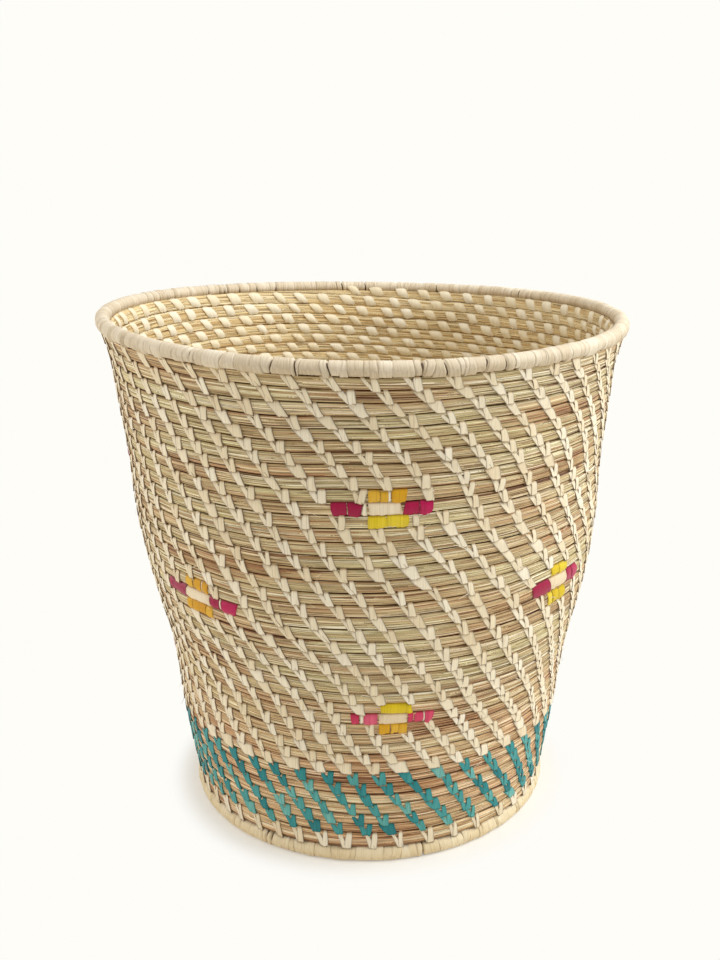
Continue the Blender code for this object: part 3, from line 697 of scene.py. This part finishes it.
def wrapped_ring(radius, height, half_width, half_height, flat, seed, widths, teeth_angle, tones):
    """A ring of close wraps round a bundle, whose section is cut flat above and below by the share flat."""
    rng = np.random.default_rng(seed)
    edges = [0.0]
    total = tau * radius / MM
    while edges[-1] < total:
        edges.append(edges[-1] + rng.uniform(*widths) * rng.choice(WIDTH_SHARES))
    edges = np.array(edges) * total / edges[-1]
    count = len(edges) - 1
    place, owner = [], []
    for wrap in range(count):
        wide = edges[wrap + 1] - edges[wrap]
        inside = np.linspace(0.3, wide - 0.3, max(4, int(wide / 0.5)))
        place.append(edges[wrap] + np.concatenate(([0.02], inside, [wide - 0.02])))
        owner.append(np.full(len(inside) + 2, wrap))
    place, owner = np.concatenate(place), np.concatenate(owner)
    near = np.minimum(place - edges[owner], edges[owner + 1] - place)
    closer = np.where(place - edges[owner] < edges[owner + 1] - place, owner, owner + 1) % count
    depth = SEAM_DEPTH * rng.choice(SLIT_DEPTHS, count, p=SLIT_CHANCES)
    reach = np.where(depth > SEAM_DEPTH, 0.6, 0.3)[closer]
    slit = np.clip(2 - 2 * near / reach, 0, 1)
    dip = slit * depth[closer]
    lift = rng.uniform(-0.16, 0.16, count)[owner]
    ribs = sum(0.05 * np.sin(place * rng.uniform(2, 9) + rng.uniform(0, 6)) for _ in range(4))
    around = np.linspace(0, tau, RING_SIDES, endpoint=False)
    slant = rng.uniform(-1.0, 1.0, count)
    share = ((place - edges[owner]) / (edges[owner + 1] - edges[owner]))[:, None]
    lean = slant[owner][:, None] * (1 - share) + slant[(owner + 1) % count][:, None] * share
    bend = rng.uniform(-0.35, 0.35, count)[owner][:, None] * np.sin(2 * around)
    angle = (place[:, None] + lean * np.sin(around) + bend) * MM / radius
    tooth = rng.uniform(-0.5, 0.9, count)[owner][:, None]
    tooth = tooth * np.clip(np.cos(around - teeth_angle), 0, 1) ** 10
    push = ((lift + ribs - dip)[:, None] + tooth) * MM
    out = half_width * np.cos(around)
    up = half_height * np.clip(np.sin(around) / flat, -1, 1)
    scale = 1 + push / np.hypot(out, up)
    points = settle(radius + out * scale, angle, height + up * scale)
    points[..., 2] = np.maximum(points[..., 2], 0)
    ones = np.ones_like(scale)
    arc = np.cumsum(np.hypot(np.diff(out, prepend=out[-1]), np.diff(up, prepend=up[-1])))
    # Painted shade on the side of the section under the ring's inner edge
    shade = np.clip(2 * np.cos(around - SHADED_SIDE) - 1, 0, 1)
    values = {
        "uvw": np.stack((arc * ones, place[:, None] * MM * ones, owner[:, None] * 3.7 * ones), -1),
        # The tone rises towards the top of the section and falls below it: painted light from above, added to
        # the wraps' random tone
        "tone": rng.uniform(*tones, count)[owner][:, None] + 0.7 * np.sin(around) * ones,
        # Painted shade in the slits between wraps, darker where they are deeper
        "edge": (slit * np.clip(0.74 + 0.26 * depth[closer], 0, 1))[:, None] * ones,
        "along": (SHADED_END + 0.07 * shade) * ones,
    }
    return points, grid_faces(len(place), len(around), closed_rows=True, closed_columns=True), values


def loose_fibres(count, seed):
    """Short ends of leaf that stand off the wall here and there."""
    rng = np.random.default_rng(seed)

    def each(low, high):
        return rng.uniform(low, high, count)[:, None, None]

    azimuth = each(-pi, pi)
    mark = each(2, TOP_MARK - 2)
    t = np.linspace(0, 1, 8)[None, :, None]
    v = np.array([-1, 1])[None, None, :]
    x = each(3, 9) * rng.choice([-1, 1], count)[:, None, None] * t
    rise_up, curl, width = each(-0.5, 0.7), each(-3, 3), each(0.12, 0.3)
    lift = 0.8 + each(0.5, 2.6) * t ** 1.5
    y = rise_up * t + curl * 0.12 * t * t + v * width * (1 - 0.8 * t) / ROW_STEP
    points = wall(azimuth + x * MM / WALL_REACH, mark + y, lift * MM)
    ones = np.ones(points.shape[:-1])
    faces = grid_faces(8, 2)[None] + (np.arange(count) * 16)[:, None, None]
    values = {
        "uvw": np.stack((x * MM * ones, y * MM * ones, ones), -1),
        "tone": each(0.3, 1) * ones,
        "edge": 0 * ones,
        "along": 0.5 * ones,
    }
    return points, faces.reshape(-1, 4), values


# Materials

class Nodes:
    """A small helper that builds the node tree of a material or a world."""

    def __init__(self, owner):
        owner.use_nodes = True
        self.owner = owner
        self.tree = owner.node_tree
        self.shader = self.tree.nodes.get("Principled BSDF")

    def node(self, kind, **values):
        """A new shader node with the given properties."""
        made = self.tree.nodes.new("ShaderNode" + kind)
        for key, value in values.items():
            setattr(made, key, value)
        return made

    def feed(self, socket, value):
        """Sets a socket to a number or a colour, or links an output to it."""
        if isinstance(value, (int, float)):
            socket.default_value = value
        elif isinstance(value, tuple):
            socket.default_value = (*value, 1)
        else:
            self.tree.links.new(value, socket)

    def attribute(self, name, output="Fac"):
        """Values that the mesh carries under a name."""
        return self.node("Attribute", attribute_name=name).outputs[output]

    def ramp(self, value, stops, interpolation="LINEAR"):
        """A colour ramp over value."""
        made = self.node("ValToRGB")
        made.color_ramp.interpolation = interpolation
        elements = made.color_ramp.elements
        while len(elements) < len(stops):
            elements.new(0.5)
        for element, (place, *colour) in zip(elements, stops):
            element.position = place
            element.color = (*colour, 1)
        self.feed(made.inputs["Fac"], value)
        return made.outputs["Color"]

    def math(self, operation, first, second=0.0, third=0.5, clamp=False):
        """One step of arithmetic."""
        made = self.node("Math", operation=operation, use_clamp=clamp)
        for socket, value in zip(made.inputs, (first, second, third)):
            self.feed(socket, value)
        return made.outputs[0]

    def mix(self, factor, first, second, blend="MIX"):
        """Two colours mixed."""
        made = self.node("Mix", data_type="RGBA", blend_type=blend)
        for place, value in ((0, factor), (6, first), (7, second)):
            self.feed(made.inputs[place], value)
        return made.outputs[2]

    def tinted(self, colour, value, stops, factor=1.0):
        """A colour multiplied by a ramp over value."""
        return self.mix(factor, colour, self.ramp(value, stops), "MULTIPLY")

    def streaks(self, scale, detail):
        """Noise drawn out along the first direction of the attribute uvw."""
        mapping = self.node("Mapping")
        mapping.inputs["Scale"].default_value = scale
        self.feed(mapping.inputs["Vector"], self.attribute("uvw", "Vector"))
        noise = self.node("TexNoise")
        self.feed(noise.inputs["Scale"], 1)
        self.feed(noise.inputs["Detail"], detail)
        self.feed(noise.inputs["Vector"], mapping.outputs["Vector"])
        return noise.outputs["Fac"]

    def surface(self, colour, roughness, specular):
        """Sets the shader's colour and gloss."""
        self.feed(self.shader.inputs["Base Color"], colour)
        self.feed(self.shader.inputs["Roughness"], roughness)
        self.feed(self.shader.inputs["Specular IOR Level"], specular)

    def bump(self, height, strength, depth):
        """Fine relief on the shader's normal, with its depth in metres."""
        made = self.node("Bump")
        self.feed(made.inputs["Strength"], strength)
        self.feed(made.inputs["Distance"], depth)
        self.feed(made.inputs["Height"], height)
        self.feed(self.shader.inputs["Normal"], made.outputs["Normal"])

    def seen_rays(self):
        """1 for rays that come from the camera or from a glossy reflection."""
        ray = self.node("LightPath")
        return self.math("MAXIMUM", ray.outputs["Is Camera Ray"], ray.outputs["Is Glossy Ray"])

    def either(self, factor, first, second, output):
        """Feeds a mix of two shaders to the tree's output."""
        made = self.node("MixShader")
        for socket, value in zip(made.inputs, (factor, first, second)):
            self.feed(socket, value)
        self.feed(self.tree.nodes[output].inputs["Surface"], made.outputs[0])


def srgb(*colour):
    """A colour written as 8-bit values, as the shader wants it."""
    shares = [value / 255 for value in colour]
    return tuple(((share + 0.055) / 1.055) ** 2.4 if share > 0.0393 else share / 12.92 for share in shares)


def palette(*stops):
    """Stops of a ramp from places and 8-bit colours."""
    return [(place, *srgb(*colour)) for place, *colour in stops]


def grass_material():
    """Dry grass straws in tan and greenish tan, with pinkish and brown ones among them."""
    n = Nodes(bpy.data.materials.new("dry_grass"))
    fine = n.streaks((24, 2300, 5), 5)
    broad = n.streaks((16, 420, 5), 2)
    tone = n.math("ADD", n.attribute("tone"), n.math("MULTIPLY", n.math("SUBTRACT", broad, 0.5), 0.35))
    tone = n.math("ADD", tone, n.math("MULTIPLY", n.attribute("hue"), 0.1), clamp=True)
    upper = n.ramp(tone, palette(
        (0, 112, 78, 48), (0.06, 168, 126, 86), (0.14, 202, 167, 124), (0.28, 210, 187, 140),
        (0.5, 206, 191, 145), (0.66, 223, 207, 162), (0.84, 236, 224, 184), (1, 249, 240, 213),
    ))
    lower = n.ramp(tone, palette(
        (0, 142, 98, 62), (0.2, 204, 163, 117), (0.5, 224, 194, 148), (0.8, 236, 213, 171),
        (1, 249, 235, 203),
    ))
    # The inner face gets a lighter copy of the grass colours: painted light that makes up for the shade
    # inside the basket
    inside = n.ramp(tone, palette(
        (0, 206, 172, 114), (0.3, 228, 202, 148), (0.6, 240, 220, 168), (1, 250, 238, 200),
    ))
    level = n.math("MULTIPLY", n.math("SUBTRACT", 0.4, n.attribute("level")), 5.0, clamp=True)
    colour = n.mix(level, upper, lower)
    colour = n.tinted(colour, n.math("MULTIPLY_ADD", n.attribute("hue"), 0.4), [
        (0.04, 0.8, 0.64, 0.54), (0.3, 0.99, 0.9, 0.87), (0.55, 1, 1, 1), (0.8, 0.98, 1.0, 0.94),
        (1, 1.05, 1.06, 1.07),
    ])
    colour = n.mix(n.attribute("inside"), colour, inside)
    colour = n.tinted(colour, fine, [
        (0.4, 0.25, 0.17, 0.1), (0.475, 0.82, 0.76, 0.67), (0.54, 1.02, 1.02, 1.02),
        (0.64, 1.24, 1.23, 1.2),
    ], 0.9)
    # Painted shade in the gaps between straws
    colour = n.tinted(colour, n.attribute("crease"), [
        (0, 0.1, 0.055, 0.03), (0.17, 0.36, 0.23, 0.13), (0.33, 0.86, 0.78, 0.67),
        (0.46, 1.03, 1.02, 1.02),
    ])
    # Painted shade in the grooves between rows, broken up by noise and much weaker on the inside
    rim = n.math("MULTIPLY", n.attribute("edge"), n.math("ADD", n.math("MULTIPLY", broad, 1.1), 0.45))
    depth = n.math("SUBTRACT", 1.0, n.math("MULTIPLY", n.attribute("inside"), 0.72))
    colour = n.tinted(colour, rim, [
        (0.22, 1, 1, 1), (0.44, 0.5, 0.37, 0.25), (0.66, 0.06, 0.03, 0.02),
    ], depth)
    n.surface(colour, roughness=0.6, specular=0.35)
    n.bump(fine, strength=0.4, depth=0.0002)
    return n.owner


def leaf_material(name, edge_colour, edge_amount, roughness, streak, tone_share, *stops):
    """Split palm leaf: colour from strip to strip, fine lines along it, darker frayed edges that also paint a
    shadow outline, and painted shade at its ends.
    """
    n = Nodes(bpy.data.materials.new(name))
    fine = n.streaks((30, 2700, 1), 4)
    broad = n.streaks((80, 620, 1), 2)
    tone = n.math("MULTIPLY", n.attribute("tone"), tone_share)
    tone = n.math("ADD", tone, n.math("MULTIPLY", broad, 1 - tone_share), clamp=True)
    colour = n.ramp(tone, palette(*stops))
    colour = n.tinted(colour, fine, [
        (0.32, 0.62, 0.52, 0.38), (0.44, 0.94, 0.91, 0.87), (0.66, 1.06, 1.06, 1.06),
    ], streak)
    # Darker frayed edges of strips, which also paint a shadow outline round each one, and painted shade in
    # the slits between a ring's wraps
    edge = n.math("MULTIPLY", n.math("POWER", n.attribute("edge"), 7.0), edge_amount, clamp=True)
    colour = n.mix(edge, colour, srgb(*edge_colour))
    # Painted shade at both ends of a strip, and on a ring's side under its inner edge
    colour = n.tinted(colour, n.attribute("along"), [
        (0, 0.36, 0.25, 0.15), (0.06, 1, 1, 1), (SHADED_END, 1, 1, 1), (1, 0.55, 0.44, 0.32),
    ])
    n.surface(colour, roughness, specular=0.3)
    n.bump(fine, strength=0.35, depth=0.00018)
    return n.owner


# Each kind of leaf: the colour and strength of its darker, frayed edges, which also paint a shadow outline
# and shade in a ring's slits, its roughness, the strength of its fine lines, how much of its tone changes
# from strip to strip, and its colours from dark to light
LEAVES = {
    "palm_leaf": ((98, 64, 36), 0.8, 0.55, 0.55, 0.6,
                  (0, 232, 210, 171), (0.3, 243, 227, 193), (0.7, 250, 238, 211), (1, 254, 247, 228)),
    "inner_leaf": ((206, 182, 140), 0.5, 0.55, 0.3, 0.6,
                   (0, 240, 224, 186), (0.4, 249, 237, 206), (1, 254, 247, 226)),
    "wrap_leaf": ((60, 38, 22), 0.9, 0.55, 0.55, 0.4,
                  (0, 209, 190, 158), (0.4, 225, 209, 181), (0.8, 238, 225, 201), (1, 248, 239, 219)),
    # The foot's leaf is a lighter copy of the wraps' leaf: painted light that makes up for the shade on the
    # foot, which faces the floor
    "foot_leaf": ((92, 56, 30), 0.9, 0.55, 0.55, 0.4,
                  (0, 228, 204, 158), (0.4, 238, 217, 175), (0.8, 246, 230, 193), (1, 251, 240, 210)),
    "teal_leaf": ((16, 70, 74), 0.5, 0.55, 0.55, 0.6,
                  (0, 18, 104, 110), (0.4, 44, 143, 146), (0.75, 98, 178, 172), (1, 164, 208, 194)),
    "golden_leaf": ((140, 84, 20), 0.3, 0.55, 0.55, 0.6,
                    (0, 208, 144, 8), (0.5, 224, 168, 22), (1, 238, 194, 72)),
    "lemon_leaf": ((150, 110, 24), 0.3, 0.55, 0.55, 0.6,
                   (0, 216, 182, 8), (0.5, 232, 204, 24), (1, 242, 220, 84)),
    "magenta_leaf": ((80, 12, 40), 0.3, 0.4, 0.55, 0.6, (0, 138, 0, 48), (0.5, 174, 0, 68), (1, 206, 10, 94)),
    "rose_leaf": ((120, 30, 56), 0.3, 0.45, 0.55, 0.6,
                  (0, 190, 34, 70), (0.5, 214, 62, 98), (1, 232, 110, 136)),
    "cream_leaf": ((176, 138, 96), 0.3, 0.55, 0.55, 0.6,
                   (0, 234, 210, 170), (0.5, 243, 223, 188), (1, 249, 236, 208)),
}


# The basket

GRASS_PIECES = 10
LOOSE_ENDS = 170

# The stitchings of the wall and the foot: node, piece, first and last row, seed, share of stitches that
# aren't split, size, range of the slits in millimetres and length of the legs
STITCHINGS = (
    ("natural", "stitches_low", BAND_TOP_MARK, BAND_TOP_MARK, 90, 0.25, 1.4, (1.2, 2.8), 0.85),
    ("natural", "stitches_1", BAND_TOP_MARK + 1, 15, 100, 0.18, 1.0, (0.9, 2.7), 0.95),
    ("natural", "stitches_2", 16, 24, 110, 0.18, 1.0, (0.9, 2.7), 0.95),
    ("natural", "stitches_3", 25, 32, 120, 0.18, 1.0, (0.9, 2.7), 0.95),
    ("natural", "stitches_4", 33, TOP_MARK - 1, 130, 0.18, 1.0, (0.9, 2.7), 0.95),
    ("teal", "stitches", 0, BAND_TOP_MARK - 1, 300, 0.05, 1.0, (1.5, 3.2), 0.76),
    ("foot", "stitches", 0, 0, 400, 0.05, 0.95, (1.4, 3.0), 0.8),
)


def build_basket():
    """Every piece of the basket."""
    m = {name: leaf_material(name, *looks) for name, looks in LEAVES.items()}
    grass, leaf = grass_material(), m["palm_leaf"]
    turns = np.linspace(CLIMB_START, TOP_MARK, GRASS_PIECES + 1)
    for index in range(GRASS_PIECES):
        rows = wall_rows(turns[index], turns[index + 1], 40 + index)
        make_piece(f"grass_rows_{index + 1}", [rows], grass, "grass", "wall_coil")
    make_piece("grass_edge", [edge_row(77)], grass, "grass", "base_coil")
    make_piece("grass_base", [base_rows(78)], grass, "grass", "base_coil")
    for kind, name, *looks in STITCHINGS:
        dye = "teal_leaf" if kind == "teal" else "palm_leaf"
        stitches = outer_stitches(*looks, climbs=kind != "foot")
        make_piece(f"{kind}_{name}", stitches, m[dye], dye, f"{kind}_stitching")
    make_piece("inner_stitches_1", inner_stitches(0, 20, 500), m["inner_leaf"], "palm_leaf")
    make_piece("inner_stitches_2", inner_stitches(21, TOP_MARK - 1, 510), m["inner_leaf"], "palm_leaf")
    make_piece("base_stitches_top", base_stitches(base_top, 530, 1), leaf, "palm_leaf")
    make_piece("base_stitches_under", base_stitches(base_underside, 540, -1), leaf, "palm_leaf")
    half = RIM_THICKNESS / 2
    rim = wrapped_ring(RIM_RADIUS, RIM_CENTRE_HEIGHT, half, half, 1.0, 600, widths=(2.2, 8.5),
                       teeth_angle=radians(-70), tones=(-0.4, 0.9))
    make_piece("rim_wraps", [rim], m["wrap_leaf"], "palm_leaf", "rim_wrapping", "rim_core")
    half = FOOT_HEIGHT / 2
    foot = wrapped_ring(FOOT_RADIUS, half, FOOT_WIDTH / 2, half, 0.93, 700, widths=(3.5, 10),
                        teeth_angle=radians(62), tones=(0, 1))
    make_piece("foot_wraps", [foot], m["foot_leaf"], "palm_leaf", "foot_wrapping", "foot_core")
    make_piece("loose_fibres", [loose_fibres(LOOSE_ENDS, 800)], leaf, "palm_leaf")
    build_motifs(m)


def build_motifs(m):
    """The twelve crosses of dyed strips."""
    natural = []
    for level, number, row, centre, (above, middle, below) in motif_places():
        name = f"motif_{level}_{number}"
        seed = 1000 + row * 10 + number
        high_dye, side_dye, low_dye = MOTIF_DYES[level]
        if level == "middle" and number % 2 == 1:
            high_dye = low_dye = "lemon_leaf"
        cream = max(middle, key=lambda wrap: min(wrap[1], 7) - max(wrap[0], -7))
        sides = [wrap for wrap in middle if wrap is not cream]
        parts = (
            ("above", row + 1, above, high_dye, 0, "yellow_upper"),
            ("below", row - 1, below, low_dye, 0, "yellow_lower"),
            ("sides", row, sides, side_dye, 0.06, "magenta"),
            ("middle", row, [cream], "cream_leaf", 0.1, "cream"),
        )
        for index, (part, over, corners, dye, lift, node) in enumerate(parts):
            strip = wraps(over, centre, corners, seed + 40 * index, lift)
            make_piece(f"{name}_{part}", [strip], m[dye], dye, f"{name}_{node}")
        for index, (over, corners) in enumerate(NATURAL_STRIPS[level]):
            if level != "middle" or number % 2 == 0:
                natural.append(wraps(row + over, centre, [corners], seed + 300 + index, -0.12))
    make_piece("motif_natural_strips", natural, m["palm_leaf"], "palm_leaf")


# Studio

PAPER = srgb(254, 253, 248)
FLOOR_SIZE = 6.0

# How much of the floor's look near the basket is lit by the lamps, and the radii between which that ends
LIT_SHARE = 0.7
LIT_RADII = (0.108, 0.13)

# Each lamp's place, size in metres, power in watts and colour, and the point that all of them shine at
LAMPS = {
    "softbox_right": ((1.05, -0.1, 0.9), 1.0, 12.8, (0.92, 0.96, 1.0)),
    "softbox_left": ((-1.0, -0.1, 0.28), 0.6, 3.2, (1.0, 0.96, 0.9)),
    "softbox_top": ((0.15, -0.25, 1.45), 1.2, 8.2, (1.0, 0.965, 0.92)),
}
LAMP_TARGET = Vector((0, 0, 0.15))

# The camera's place, its pitch down, yaw and roll in degrees, and its focal length in picture heights
CAMERA_PLACE = (0, -0.627, 0.3778)
CAMERA_ANGLES = (16.749, 0.298, -1.18)
FOCAL_SHARE = 1088.97 / 960
SENSOR = 36


def build_studio():
    """A pale floor, soft light and the camera."""
    scene = bpy.context.scene
    scene.view_settings.view_transform = "Standard"

    n = Nodes(bpy.data.materials.new("floor_paper"))
    n.surface(PAPER, roughness=0.9, specular=0.0)
    glow = n.node("Emission")
    n.feed(glow.inputs["Color"], PAPER)
    far = n.node("VectorMath", operation="LENGTH")
    n.feed(far.inputs[0], n.node("TexCoord").outputs["Object"])
    near = n.ramp(far.outputs["Value"], ((LIT_RADII[0], *[LIT_SHARE] * 3), (LIT_RADII[1], 0, 0, 0)), "EASE")
    lit = n.math("MAXIMUM", near, n.math("SUBTRACT", 1.0, n.seen_rays()))
    n.either(lit, glow.outputs[0], n.shader.outputs[0], "Material Output")
    mesh = bpy.data.meshes.new("floor")
    corners = [(x * FLOOR_SIZE, y * FLOOR_SIZE, 0) for x, y in ((-1, -1), (1, -1), (1, 1), (-1, 1))]
    mesh.from_pydata(corners, [], [(0, 1, 2, 3)])
    mesh.materials.append(n.owner)
    floor = add_object("floor", mesh)

    scene.world = bpy.data.worlds.new("studio")
    n = Nodes(scene.world)
    sky = n.tree.nodes["Background"]
    n.feed(sky.inputs["Color"], (1, 0.98, 0.95))
    n.feed(sky.inputs["Strength"], 0.36)
    plain = n.node("Background")
    n.feed(plain.inputs["Color"], PAPER)
    n.either(n.seen_rays(), sky.outputs[0], plain.outputs[0], "World Output")

    for name, (place, size, power, colour) in LAMPS.items():
        data = bpy.data.lights.new(name, "AREA")
        data.shape = "SQUARE"
        data.size = size
        data.energy = power
        data.color = colour
        lamp = add_object(name, data)
        lamp.location = place
        lamp.rotation_euler = (LAMP_TARGET - lamp.location).to_track_quat("-Z", "Y").to_euler()

    data = bpy.data.cameras.new("camera")
    data.sensor_fit = "VERTICAL"
    data.sensor_height = SENSOR
    data.lens = SENSOR * FOCAL_SHARE
    data.clip_start = 0.01
    scene.camera = camera = add_object("camera", data)
    camera.location = CAMERA_PLACE
    pitch, yaw, roll = [radians(angle) for angle in CAMERA_ANGLES]
    tilt = Matrix.Rotation(pi / 2 - pitch, 4, "X") @ Matrix.Rotation(roll, 4, "Z")
    camera.rotation_euler = (Matrix.Rotation(yaw, 4, "Z") @ tilt).to_euler()


build_basket()
build_studio()
